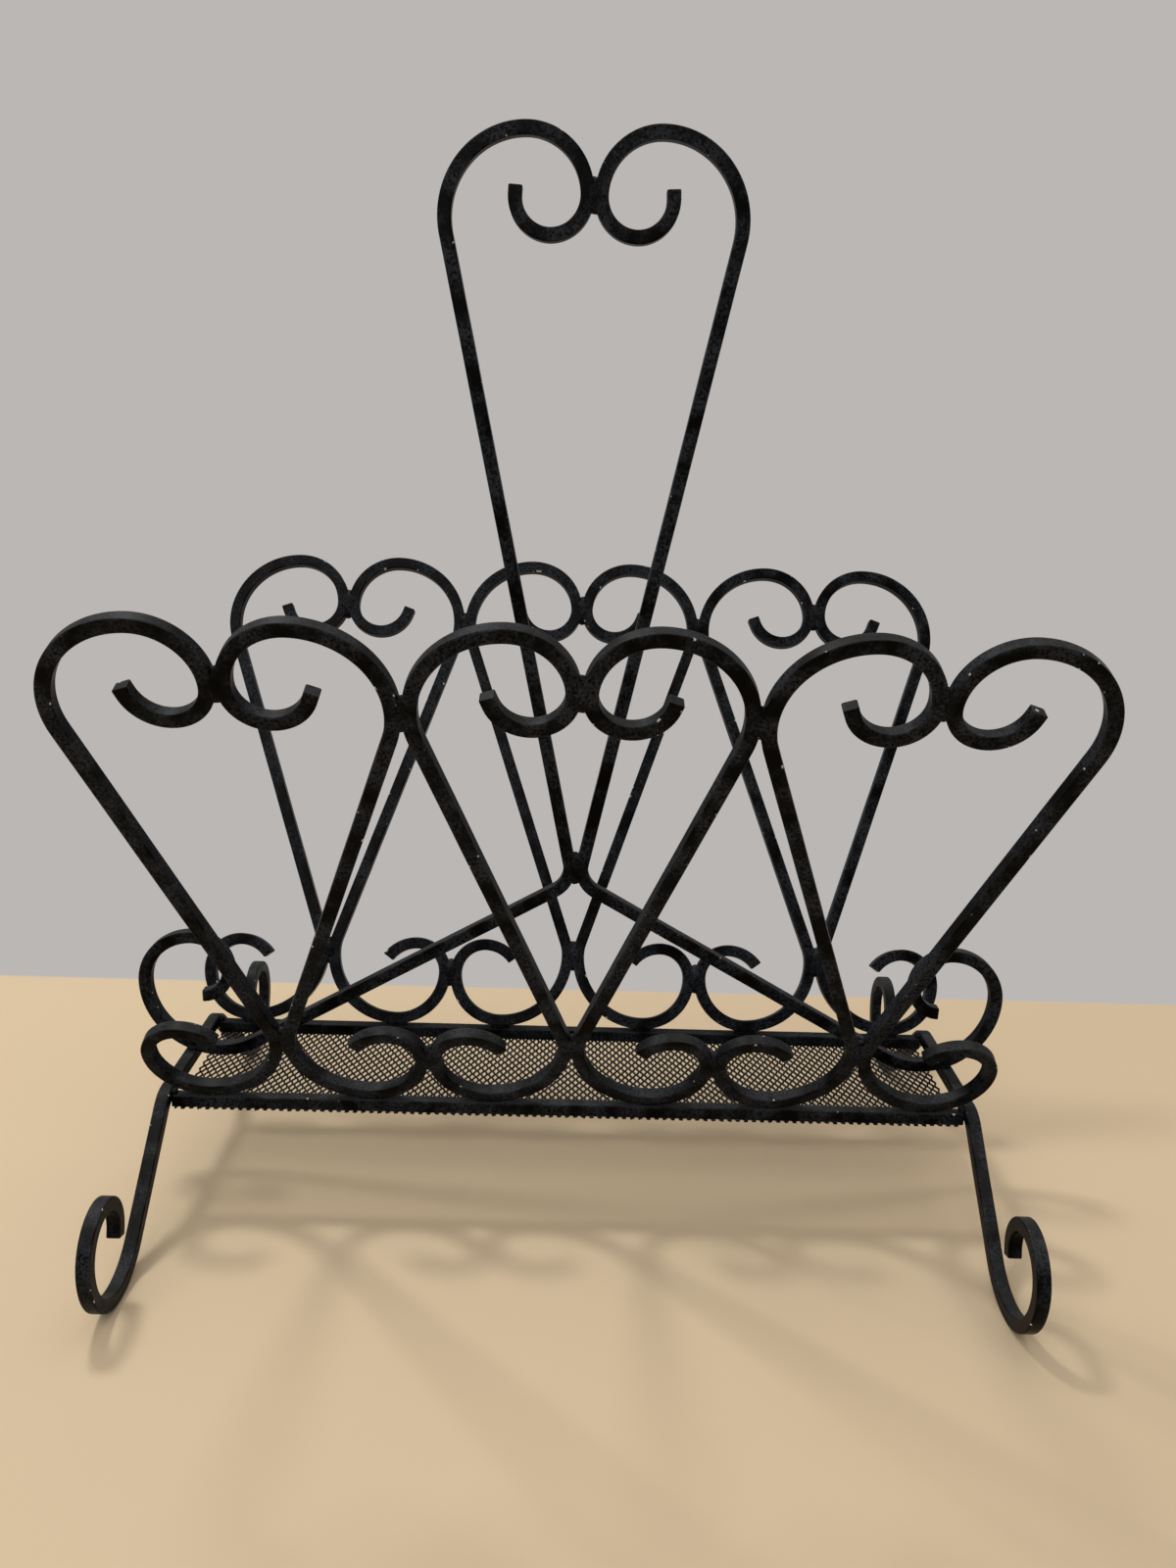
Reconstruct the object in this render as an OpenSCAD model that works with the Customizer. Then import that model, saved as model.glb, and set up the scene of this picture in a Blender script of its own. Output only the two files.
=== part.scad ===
// Newspaper rack of welded square iron bar: a mesh floor on four scroll feet, two leaning
// side panels of three hearts each, and a tall heart-topped handle that divides the rack.
// X runs along the rack, -Y is the front, +Z is up. The origin is on the ground under the
// middle of the rack. Units are millimetres.

/* [Bar stock] */
// Side of the square bar that every scroll, rail and leg is bent from
bar = 6.9; // [5:0.05:8]
// Width of the flat that takes the sharp corner off the bar
bar_chamfer = 0.6; // [0.2:0.1:1]
// Length of bar left straight at the tip of a foot, a heart lobe and a handle lobe
tip_length = 4; // [1:0.5:6]

/* [Base] */
// Distance between the centres of the two leg hoops
base_length = 435; // [400:1:520]
// Distance between the centres of the front rail and the rear rail
rail_spacing = 90; // [80:1:120]
// Height of the centre of the rails above the ground
rail_height = 59.5; // [56:0.5:80]
// How much higher the end bars of the hoops sit than the rails
end_bar_rise = 3.5; // [0:0.5:5]
// Distance between the two corners where an end bar bends down into its legs
corner_spacing = 98; // [90:1:130]
// Centre-line radius of the bend at a hoop corner
corner_radius = 18; // [10:1:30]
// Angle of a leg below the horizontal
leg_angle = 41.5; // [35:0.5:60]
// Thickness of the expanded-metal floor sheet
mesh_thickness = 1.2; // [0.8:0.1:2]

/* [Foot scroll] */
// Radius of the sweep from the leg to the ground
foot_heel_radius = 40; // [25:1:50]
// Radius of the toe, from the ground to the outermost point
foot_toe_radius = 31; // [20:1:32]
// Radius from the outermost point to the top of the foot
foot_crown_radius = 21; // [15:1:22]
// Radius of the inward curl at the end of the foot
foot_curl_radius = 17; // [10:1:18]
// Turn of the inward curl past the top of the foot
foot_curl_turn = 104; // [60:1:120]

/* [Side panels] */
// Lean of a side panel away from the vertical
panel_lean = 23.5; // [10:0.5:35]
// Radius of the crown of a heart lobe, on the outer side
crown_outer_radius = 40; // [35:0.5:45]
// Radius of the crown of a heart lobe, on the inner side
crown_inner_radius = 28; // [25:0.5:32]
// Radius of the inward curl of a heart lobe
crown_curl_radius = 17.5; // [14:0.5:20]
// Radius of the last turn of a heart lobe
crown_end_radius = 18; // [14:0.5:20]
// Turn of the last part of a heart lobe
crown_end_turn = 70; // [40:1:80]
// Angle between a heart's side and the middle line of the heart
heart_angle = 19; // [15:0.5:24]
// Radius of the bend from a heart's point into its side
heart_point_radius = 25; // [15:1:35]
// Radius of the bowl that the bar makes below the heart's point
bowl_inner_radius = 40; // [36:0.5:42]
// Radius of the upward curl of the bottom scroll
bowl_curl_radius = 17.5; // [14:0.5:20]
// Radius of the last turn of the bottom scroll
bowl_end_radius = 21.5; // [16:0.5:24]
// Turn of the last part of the bottom scroll
bowl_end_turn = 54; // [30:1:70]

/* [Handle] */
// Radius of the crown of a handle lobe, on the outer side
handle_outer_radius = 40; // [34:0.5:45]
// Radius of the crown of a handle lobe, on the inner side
handle_inner_radius = 29; // [25:0.5:32]
// Radius of the inward curl of a handle lobe
handle_curl_radius = 18; // [14:0.5:20]
// Radius of the last turn of a handle lobe
handle_end_radius = 17; // [14:0.5:19]
// Turn of the last part of a handle lobe
handle_end_turn = 93; // [50:1:110]
// Angle between a handle upright and the middle line of the handle
handle_angle = 12; // [10:0.5:15]
// Radius of both bends at the handle's waist
waist_radius = 15; // [12:1:30]
// Turn of the lower bend at the handle's waist
waist_turn = 60.5; // [55:0.5:65]
// Length of the straight brace from the waist towards the end of the base
brace_length = 194; // [180:1:215]
// Radius of the large part of an end scroll of the handle
end_scroll_radius = 41; // [38:0.5:46]
// Radius of the crown of an end scroll
end_scroll_crown_radius = 27; // [22:0.5:30]
// Radius of the inward curl of an end scroll
end_scroll_curl_radius = 20; // [16:0.5:21]
// Radius of the last turn of an end scroll
end_scroll_end_radius = 15; // [12:0.5:16]
// Turn of the last part of an end scroll
end_scroll_end_turn = 89; // [45:1:100]

/* [Welds] */
// Radius of a weld bead's round cap on the face of the bars
bead_radius = 4.2; // [3:0.1:5]
// Height of a weld bead's cap above the face of the bars
bead_height = 1.4; // [0.8:0.1:2]
// Width of the bead under a panel's bowl, across the rail
fillet_width = 3.4; // [2:0.1:4]
// Length of the bead under a panel's bowl, along the rail
fillet_length = 14; // [8:1:20]
// Side of the bead in the corner between a rail and a hoop
corner_bead = 2; // [1:0.1:2.2]

/* [Hidden] */
$fn = 96;
HALF = bar / 2;
BRIM = HALF - bar_chamfer;
// Each step of a bent bar starts this far inside the one before
LAP = 0.05;
// Each step is slimmer than the one before by this much on every side, so that it starts inside it
SLIMMER = 0.005;

// Base
END_BAR_HEIGHT = rail_height + end_bar_rise;
HOOP_X = base_length / 2;
RAIL_Y = rail_spacing / 2;
RAIL_TOP = rail_height + HALF;
RAIL_LENGTH = base_length - bar;
CORNER_TANGENT = corner_radius * tan(leg_angle / 2);
END_BAR_HALF = corner_spacing / 2 - CORNER_TANGENT;
LEG_DROP = END_BAR_HEIGHT - HALF;
LEG_LENGTH = (LEG_DROP - (corner_radius + foot_heel_radius) * (1 - cos(leg_angle))) / sin(leg_angle);
MESH_TOP = rail_height - HALF;
MESH_LENGTH = RAIL_LENGTH - 1;
MESH_WIDTH = rail_spacing + bar;

// Side panels: u runs along the panel and v up it, from the lowest point of the bowls
LOBE_WIDTH = crown_outer_radius + crown_inner_radius;
BOWL_OUTER_RADIUS = LOBE_WIDTH - bowl_inner_radius;
HEART_PITCH = 2 * (LOBE_WIDTH + bar);
HEARTS = [-1, 0, 1];
HEART_SIDE = (LOBE_WIDTH - (heart_point_radius + crown_outer_radius) * (1 - cos(heart_angle)))
    / sin(heart_angle);
POINT_V = bowl_inner_radius;
WIDEST_V = POINT_V + (heart_point_radius + crown_outer_radius) * sin(heart_angle)
    + HEART_SIDE * cos(heart_angle);
LOBE_JOIN_V = WIDEST_V + crown_outer_radius - crown_inner_radius;
BOWL_JOIN_V = BOWL_OUTER_RADIUS;
PANEL_FOOT = RAIL_TOP + HALF * cos(panel_lean) + BRIM * sin(panel_lean);

// Handle: its end scrolls rest on the inner top edges of the end bars
HANDLE_LOBE = handle_outer_radius + handle_inner_radius;
HANDLE_SIDE = (HANDLE_LOBE - (waist_radius + handle_outer_radius) * (1 - cos(handle_angle)))
    / sin(handle_angle);
END_SCROLL_X = HALF + waist_radius * (1 - cos(waist_turn)) + brace_length * sin(waist_turn)
    + end_scroll_radius * cos(waist_turn);
END_SCROLL_DROP = waist_radius * sin(waist_turn) + brace_length * cos(waist_turn)
    + end_scroll_radius * (1 - sin(waist_turn));
REST_X = HOOP_X - BRIM;
REST_RISE = sqrt(pow(end_scroll_radius + HALF, 2) - pow(REST_X - END_SCROLL_X, 2));
END_SCROLL_Z = END_BAR_HEIGHT + HALF + REST_RISE - end_scroll_radius;
WAIST_Z = END_SCROLL_Z + END_SCROLL_DROP;
HANDLE_JOIN_Z = WAIST_Z + (waist_radius + handle_outer_radius) * sin(handle_angle)
    + HANDLE_SIDE * cos(handle_angle) + handle_outer_radius - handle_inner_radius;

// Colours
IRON = [0.07, 0.07, 0.065];
BEAD = [0.09, 0.09, 0.085];
MESH = [0.1, 0.1, 0.095];

// ---- Bent bar ----

// Cross-section of the bar after a number of steps, centred on the bar's centre line
module bar_section(steps_before) {
    half = HALF - steps_before * SLIMMER;
    brim = half - bar_chamfer;
    polygon([
        [half, -brim], [half, brim], [brim, half], [-brim, half],
        [-half, brim], [-half, -brim], [-brim, -half], [brim, -half]
    ]);
}

// Straight length of bar along +X
module straight(length, steps_before = 0) {
    lap = steps_before > 0 ? LAP : 0;
    translate([-lap, 0, 0])
        rotate([90, 0, 90])
            linear_extrude(height = length + lap)
                bar_section(steps_before);
}

// Bend that starts along +X and turns towards +Y
module bend_left(radius, turn, steps_before) {
    lap = steps_before > 0 ? LAP / radius * 180 / PI : 0;
    translate([0, radius, 0])
        rotate([0, 0, -90 - lap])
            rotate_extrude(angle = turn + lap)
                translate([radius, 0])
                    bar_section(steps_before);
}

// One step of a bar's route: [length, 0] is straight, [radius, turn] bends, positive to the left
module step(s, steps_before) {
    if (s[1] == 0) {
        straight(s[0], steps_before);
    } else if (s[1] > 0) {
        bend_left(s[0], s[1], steps_before);
    } else {
        mirror([0, 1, 0])
            bend_left(s[0], -s[1], steps_before);
    }
}

// Moves its children to the end of one step
module after(s) {
    if (s[1] == 0) {
        translate([s[0], 0, 0])
            children();
    } else {
        side = sign(s[1]);
        translate([0, side * s[0], 0])
            rotate([0, 0, s[1]])
                translate([0, -side * s[0], 0])
                    children();
    }
}

// A bar that follows its steps one after another, from +X at the origin
module route(steps, steps_before = 0, first = 0) {
    step(steps[first], steps_before);
    if (first < len(steps) - 1) {
        after(steps[first])
            route(steps, steps_before + 1, first + 1);
    }
}

// ---- Side panels ----

// Left bar of a heart in the panel's own plane: lobe above the heart's point, bowl below it
module heart_left_bar() {
    translate([-HALF, POINT_V, 0]) {
        rotate([0, 0, 90])
            route([
                [heart_point_radius, heart_angle],
                [HEART_SIDE, 0],
                [crown_outer_radius, -(90 + heart_angle)],
                [crown_inner_radius, -90],
                [crown_curl_radius, -90],
                [crown_end_radius, -crown_end_turn],
                [tip_length, 0]
            ]);
        rotate([0, 0, -90])
            route([
                [bowl_inner_radius, -90],
                [BOWL_OUTER_RADIUS, -90],
                [bowl_curl_radius, -90],
                [bowl_end_radius, -bowl_end_turn]
            ], 1);
    }
}

// Puts the panel's plane in place: side is -1 for the front panel and 1 for the rear one
module on_panel(side) {
    mirror([0, side > 0 ? 1 : 0, 0])
        translate([0, -RAIL_Y, PANEL_FOOT])
            rotate([90 + panel_lean, 0, 0])
                children();
}

// One bar of a heart: hand is -1 for the left bar and 1 for the right one
module heart_bar(side, heart, hand) {
    color(IRON)
        on_panel(side)
            translate([HEARTS[heart - 1] * HEART_PITCH, 0, 0])
                mirror([hand > 0 ? 1 : 0, 0, 0])
                    heart_left_bar();
}

module front_heart_1_left_bar() { heart_bar(-1, 1, -1); }
module front_heart_1_right_bar() { heart_bar(-1, 1, 1); }
module front_heart_2_left_bar() { heart_bar(-1, 2, -1); }
module front_heart_2_right_bar() { heart_bar(-1, 2, 1); }
module front_heart_3_left_bar() { heart_bar(-1, 3, -1); }
module front_heart_3_right_bar() { heart_bar(-1, 3, 1); }
module rear_heart_1_left_bar() { heart_bar(1, 1, -1); }
module rear_heart_1_right_bar() { heart_bar(1, 1, 1); }
module rear_heart_2_left_bar() { heart_bar(1, 2, -1); }
module rear_heart_2_right_bar() { heart_bar(1, 2, 1); }
module rear_heart_3_left_bar() { heart_bar(1, 3, -1); }
module rear_heart_3_right_bar() { heart_bar(1, 3, 1); }

// ---- Handle ----

// Left half of the handle, in the middle plane of the rack
module handle_left_bar() {
    color(IRON)
        rotate([90, 0, 0])
            translate([-HALF, WAIST_Z, 0]) {
                rotate([0, 0, 90])
                    route([
                        [waist_radius, handle_angle],
                        [HANDLE_SIDE, 0],
                        [handle_outer_radius, -(90 + handle_angle)],
                        [handle_inner_radius, -90],
                        [handle_curl_radius, -90],
                        [handle_end_radius, -handle_end_turn],
                        [tip_length, 0]
                    ]);
                rotate([0, 0, -90])
                    route([
                        [waist_radius, -waist_turn],
                        [brace_length, 0],
                        [end_scroll_radius, -(180 - waist_turn)],
                        [end_scroll_crown_radius, -90],
                        [end_scroll_curl_radius, -90],
                        [end_scroll_end_radius, -end_scroll_end_turn]
                    ], 1);
            }
}

module handle_right_bar() {
    mirror([1, 0, 0])
        handle_left_bar();
}

// ---- Base ----

// A leg and its foot scroll, from the end of the end bar towards +X of the hoop's own plane
module leg() {
    route([
        [corner_radius, -leg_angle],
        [LEG_LENGTH, 0],
        [foot_heel_radius, leg_angle],
        [foot_toe_radius, 90],
        [foot_crown_radius, 90],
        [foot_curl_radius, foot_curl_turn],
        [tip_length, 0]
    ], 1);
}

// One bar bent into two legs and the end bar between them
module leg_hoop(x) {
    color(IRON)
        translate([x, 0, END_BAR_HEIGHT])
            rotate([90, 0, 90]) {
                translate([-END_BAR_HALF, 0, 0])
                    straight(2 * END_BAR_HALF);
                for (hand = [0, 1]) {
                    mirror([hand, 0, 0])
                        translate([END_BAR_HALF, 0, 0])
                            leg();
                }
            }
}

module left_leg_hoop() { leg_hoop(-HOOP_X); }
module right_leg_hoop() { leg_hoop(HOOP_X); }

// Long bar between the hoops
module rail(y) {
    color(IRON)
        translate([-RAIL_LENGTH / 2, y, rail_height])
            straight(RAIL_LENGTH);
}

module front_rail() { rail(-RAIL_Y); }
module rear_rail() { rail(RAIL_Y); }

// Expanded-metal sheet under the rails, as one closed plate
module mesh_floor() {
    color(MESH)
        translate([-MESH_LENGTH / 2, -MESH_WIDTH / 2, MESH_TOP - mesh_thickness])
            cube([MESH_LENGTH, MESH_WIDTH, mesh_thickness]);
}

// ---- Welds ----

// Low round cap on the +Z face of two touching bars
module bead_cap() {
    sphere_radius = (bead_radius * bead_radius + bead_height * bead_height) / (2 * bead_height);
    translate([0, 0, HALF])
        rotate_extrude()
            intersection() {
                translate([0, bead_height - sphere_radius])
                    circle(r = sphere_radius);
                square([bead_radius, bead_height]);
            }
}

// Cap on both faces of two bars that touch side by side
module bead_pair() {
    bead_cap();
    mirror([0, 0, 1])
        bead_cap();
}

// The beads of one panel's hearts: between the lobes, at the points and between the bowls
module heart_welds(side) {
    color(BEAD)
        on_panel(side) {
            for (heart = HEARTS) {
                translate([heart * HEART_PITCH, LOBE_JOIN_V, 0])
                    bead_pair();
                translate([heart * HEART_PITCH, POINT_V, 0])
                    bead_pair();
            }
            for (gap = [-0.5, 0.5]) {
                translate([gap * HEART_PITCH, WIDEST_V, 0])
                    bead_pair();
                translate([gap * HEART_PITCH, BOWL_JOIN_V, 0])
                    bead_pair();
            }
        }
}

module front_heart_welds() { heart_welds(-1); }
module rear_heart_welds() { heart_welds(1); }

// The beads that fill the wedge between one panel's bowls and the top of its rail
module rail_welds(side) {
    foot_y = RAIL_Y - HALF * sin(panel_lean) + BRIM * cos(panel_lean);
    color(BEAD)
        for (heart = HEARTS, hand = [-1, 1]) {
            translate([heart * HEART_PITCH + hand * (HALF + bowl_inner_radius), 0, RAIL_TOP])
                mirror([0, side > 0 ? 1 : 0, 0])
                    translate([0, -foot_y, 0])
                        rotate([90, 0, 90])
                            linear_extrude(height = fillet_length, center = true)
                                polygon([
                                    [0, 0],
                                    [fillet_width, 0],
                                    [fillet_width, fillet_width * tan(panel_lean)]
                                ]);
        }
}

module front_rail_welds() { rail_welds(-1); }
module rear_rail_welds() { rail_welds(1); }

// Bead in the wedge between an end bar's top and the handle's end scroll that rests on it
module end_scroll_bead() {
    bead_start = REST_X + 1;
    difference() {
        translate([bead_start, -BRIM, END_BAR_HEIGHT + HALF])
            cube([HOOP_X + BRIM - bead_start, 2 * BRIM, bead_height + 1]);
        translate([END_SCROLL_X, 0, END_SCROLL_Z + end_scroll_radius])
            rotate([90, 0, 0])
                cylinder(r = end_scroll_radius + HALF, h = bar, center = true);
    }
}

// The beads between the handle's lobes, at its waist and under its end scrolls
module handle_welds() {
    color(BEAD) {
        rotate([90, 0, 0]) {
            translate([0, HANDLE_JOIN_Z, 0])
                bead_pair();
            translate([0, WAIST_Z, 0])
                bead_pair();
        }
        end_scroll_bead();
        mirror([1, 0, 0])
            end_scroll_bead();
    }
}

// The beads in the corners between the tops of the rails and the hoops
module hoop_welds() {
    color(BEAD)
        for (hand = [0, 1], y = [-RAIL_Y, RAIL_Y]) {
            mirror([hand, 0, 0])
                translate([RAIL_LENGTH / 2, y, RAIL_TOP])
                    rotate([90, 0, 0])
                        linear_extrude(height = 2 * BRIM, center = true)
                            polygon([[0, 0], [-corner_bead, 0], [0, corner_bead]]);
        }
}

front_heart_1_left_bar();
front_heart_1_right_bar();
front_heart_2_left_bar();
front_heart_2_right_bar();
front_heart_3_left_bar();
front_heart_3_right_bar();
rear_heart_1_left_bar();
rear_heart_1_right_bar();
rear_heart_2_left_bar();
rear_heart_2_right_bar();
rear_heart_3_left_bar();
rear_heart_3_right_bar();
handle_left_bar();
handle_right_bar();
left_leg_hoop();
right_leg_hoop();
front_rail();
rear_rail();
mesh_floor();
front_heart_welds();
rear_heart_welds();
front_rail_welds();
rear_rail_welds();
handle_welds();
hoop_welds();
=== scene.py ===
"""Newspaper rack of welded square iron bar, dressed for rendering.

Every bar is a rounded square profile carried along a route of straights and bends. The floor is
real expanded metal: separate zigzag strands that meet at flat bonds. The welds are lumpy beads with
a little spatter. Lengths are in millimetres until a mesh is made, and in metres after that.
"""

import logging
import math
from collections.abc import Callable
from dataclasses import dataclass, field
from enum import Enum
from typing import Any

import bpy
import numpy as np
from mathutils import Matrix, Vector
from numpy.typing import NDArray


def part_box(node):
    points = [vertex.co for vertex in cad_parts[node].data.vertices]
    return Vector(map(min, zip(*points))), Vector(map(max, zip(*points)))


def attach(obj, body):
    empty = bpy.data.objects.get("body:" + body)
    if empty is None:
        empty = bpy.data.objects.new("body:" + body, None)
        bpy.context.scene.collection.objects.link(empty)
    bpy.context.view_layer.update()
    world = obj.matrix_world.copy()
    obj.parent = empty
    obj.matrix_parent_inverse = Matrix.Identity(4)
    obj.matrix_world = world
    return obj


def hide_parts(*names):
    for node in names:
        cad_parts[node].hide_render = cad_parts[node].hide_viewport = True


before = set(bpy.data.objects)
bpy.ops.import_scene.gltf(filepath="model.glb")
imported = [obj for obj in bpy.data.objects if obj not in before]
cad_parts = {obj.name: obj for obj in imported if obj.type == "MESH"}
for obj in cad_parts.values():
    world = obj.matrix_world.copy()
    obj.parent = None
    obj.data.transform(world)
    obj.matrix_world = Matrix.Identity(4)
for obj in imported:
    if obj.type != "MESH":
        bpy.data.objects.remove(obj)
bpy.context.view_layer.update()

LOG = logging.getLogger("newspaper_rack")
MM = 0.001
Array = NDArray[np.float64]
Step = tuple[float, float]
Placement = Callable[[Array], Array]


class Hand(Enum):
    """Which half of a mirrored pair a bar is: the sign of its X."""

    LEFT = -1
    RIGHT = 1


class Side(Enum):
    """Which side of the rack a panel or rail is on: the sign of its Y."""

    FRONT = -1
    REAR = 1


@dataclass(frozen=True)
class Box:
    """A CAD node's box at rest, in millimetres."""

    low: Array
    high: Array

    @property
    def middle(self) -> Array:
        """The box's centre."""
        return (self.low + self.high) / 2

    @property
    def size(self) -> Array:
        """The box's length along each axis."""
        return self.high - self.low


def cad_box(node: str) -> Box:
    """The box of the CAD node with this name."""
    low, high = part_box(node)
    return Box(np.array(low) / MM, np.array(high) / MM)


# ---- Bar routes ----


@dataclass(frozen=True)
class Path:
    """A plane centre line of straights and bends.

    Each step keeps its start, its heading there and its curvature. Along a bend the heading grows
    by curvature times length, and the position is the integral of the heading's direction.
    """

    steps: tuple[Step, ...]
    start: tuple[float, float]
    heading: float

    def lengths(self) -> Array:
        """Length of each step: its own for a straight, radius times turn for a bend."""
        return np.array([r if t == 0 else r * math.radians(abs(t)) for r, t in self.steps])

    def curvatures(self) -> Array:
        """Signed curvature of each step, positive to the left."""
        return np.array([0.0 if t == 0 else math.copysign(1 / r, t) for r, t in self.steps])

    def at(self, s: Array) -> tuple[Array, Array]:
        """Positions and headings at distances along the path.

        Args:
            s: Distances from the start.

        Returns:
            Positions (n, 2) and headings in radians (n,).
        """
        length, curve = self.lengths(), self.curvatures()
        begin = np.concatenate([[0.0], np.cumsum(length)])
        h0 = math.radians(self.heading) + np.concatenate([[0.0], np.cumsum(curve * length)])
        moves = self._advance(h0[:-1], curve, length)
        p0 = np.array(self.start) + np.concatenate([np.zeros((1, 2)), np.cumsum(moves, axis=0)])
        i = np.clip(np.searchsorted(begin, s, side="right") - 1, 0, len(length) - 1)
        ds = s - begin[i]
        return p0[i] + self._advance(h0[i], curve[i], ds), h0[i] + curve[i] * ds

    @staticmethod
    def _advance(h: Array, k: Array, ds: Array) -> Array:
        """Displacement after ds: ds times the direction on a straight, a circle's chord on a bend.

        Args:
            h: Headings at the start, in radians.
            k: Curvatures, positive to the left.
            ds: Distances along the path.

        Returns:
            Displacements (n, 2).
        """
        bent = np.abs(k) > 0
        safe = np.where(bent, k, 1.0)
        end = h + k * ds
        dx = np.where(bent, (np.sin(end) - np.sin(h)) / safe, ds * np.cos(h))
        dy = np.where(bent, (np.cos(h) - np.cos(end)) / safe, ds * np.sin(h))
        return np.stack([dx, dy], axis=-1)

    def total(self) -> float:
        """Whole length of the path."""
        return float(self.lengths().sum())


def both_ways(
    back: tuple[Step, ...], ahead: tuple[Step, ...], start: tuple[float, float], back_heading: float
) -> Path:
    """One path from the far end of one route, back through its start and out along the other.

    Args:
        back: Steps of the route that is walked backwards.
        ahead: Steps of the route that is walked forwards.
        start: Where both routes start.
        back_heading: Heading of the back route at the start, in degrees.

    Returns:
        The joined path.
    """
    away = Path(back, start, back_heading)
    end, heading = away.at(np.array([away.total()]))
    reverse = tuple((r, -t) for r, t in reversed(back))
    far_end = (float(end[0, 0]), float(end[0, 1]))
    return Path(reverse + ahead, far_end, math.degrees(heading[0]) + 180)


# ---- Meshes ----


@dataclass
class Surface:
    """Arrays of a mesh before Blender sees it, in millimetres."""

    points: Array
    quads: NDArray[np.int64]
    others: list[list[int]] = field(default_factory=list)
    edge: Array | None = None

    def outward(self) -> "Surface":
        """The same surface with its faces turned outwards.

        The sum of every corner triangle's volume with the origin is positive when faces point out.

        Returns:
            This surface.
        """
        a, b, c, d = (self.points[self.quads[:, i]] for i in range(4))
        volume = np.einsum("ij,ij->", a, np.cross(b, c)) + np.einsum("ij,ij->", a, np.cross(c, d))
        if volume < 0:
            self.quads = self.quads[:, ::-1]
            self.others = [face[::-1] for face in self.others]
        return self


def joined(surfaces: list[Surface]) -> Surface:
    """Several surfaces as one, each kept as its own closed shell.

    Args:
        surfaces: The surfaces to put together.

    Returns:
        One surface whose face indices are shifted to the combined points.
    """
    shift = np.cumsum([0] + [len(s.points) for s in surfaces[:-1]])
    others = [[i + int(k) for i in face] for s, k in zip(surfaces, shift) for face in s.others]
    return Surface(
        np.concatenate([s.points for s in surfaces]),
        np.concatenate([s.quads + k for s, k in zip(surfaces, shift)]),
        others,
    )


def add_piece(
    node: str, surface: Surface, material: bpy.types.Material, smooth: bool
) -> None:
    """Turns a surface into an object at the origin that stands for a CAD node.

    The rack is one body, so every piece rides on the root.

    Args:
        node: The CAD node that it stands for.
        surface: Its arrays in millimetres.
        material: Its finish.
        smooth: Whether its faces are shaded smooth.
    """
    name = f"painted_{node}"
    mesh = bpy.data.meshes.new(name)
    mesh.from_pydata((surface.points * MM).tolist(), [], surface.quads.tolist() + surface.others)
    mesh.polygons.foreach_set("use_smooth", np.full(len(mesh.polygons), smooth))
    if surface.edge is not None:
        layer = mesh.attributes.new("edge", "FLOAT", "POINT")
        layer.data.foreach_set("value", surface.edge.astype(np.float32))
    mesh.materials.append(material)
    mesh.update()
    piece = bpy.data.objects.new(name, mesh)
    bpy.context.scene.collection.objects.link(piece)
    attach(piece, "root")
    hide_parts(node)
    LOG.info("%s: %d points, %d faces", name, len(mesh.vertices), len(mesh.polygons))


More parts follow.
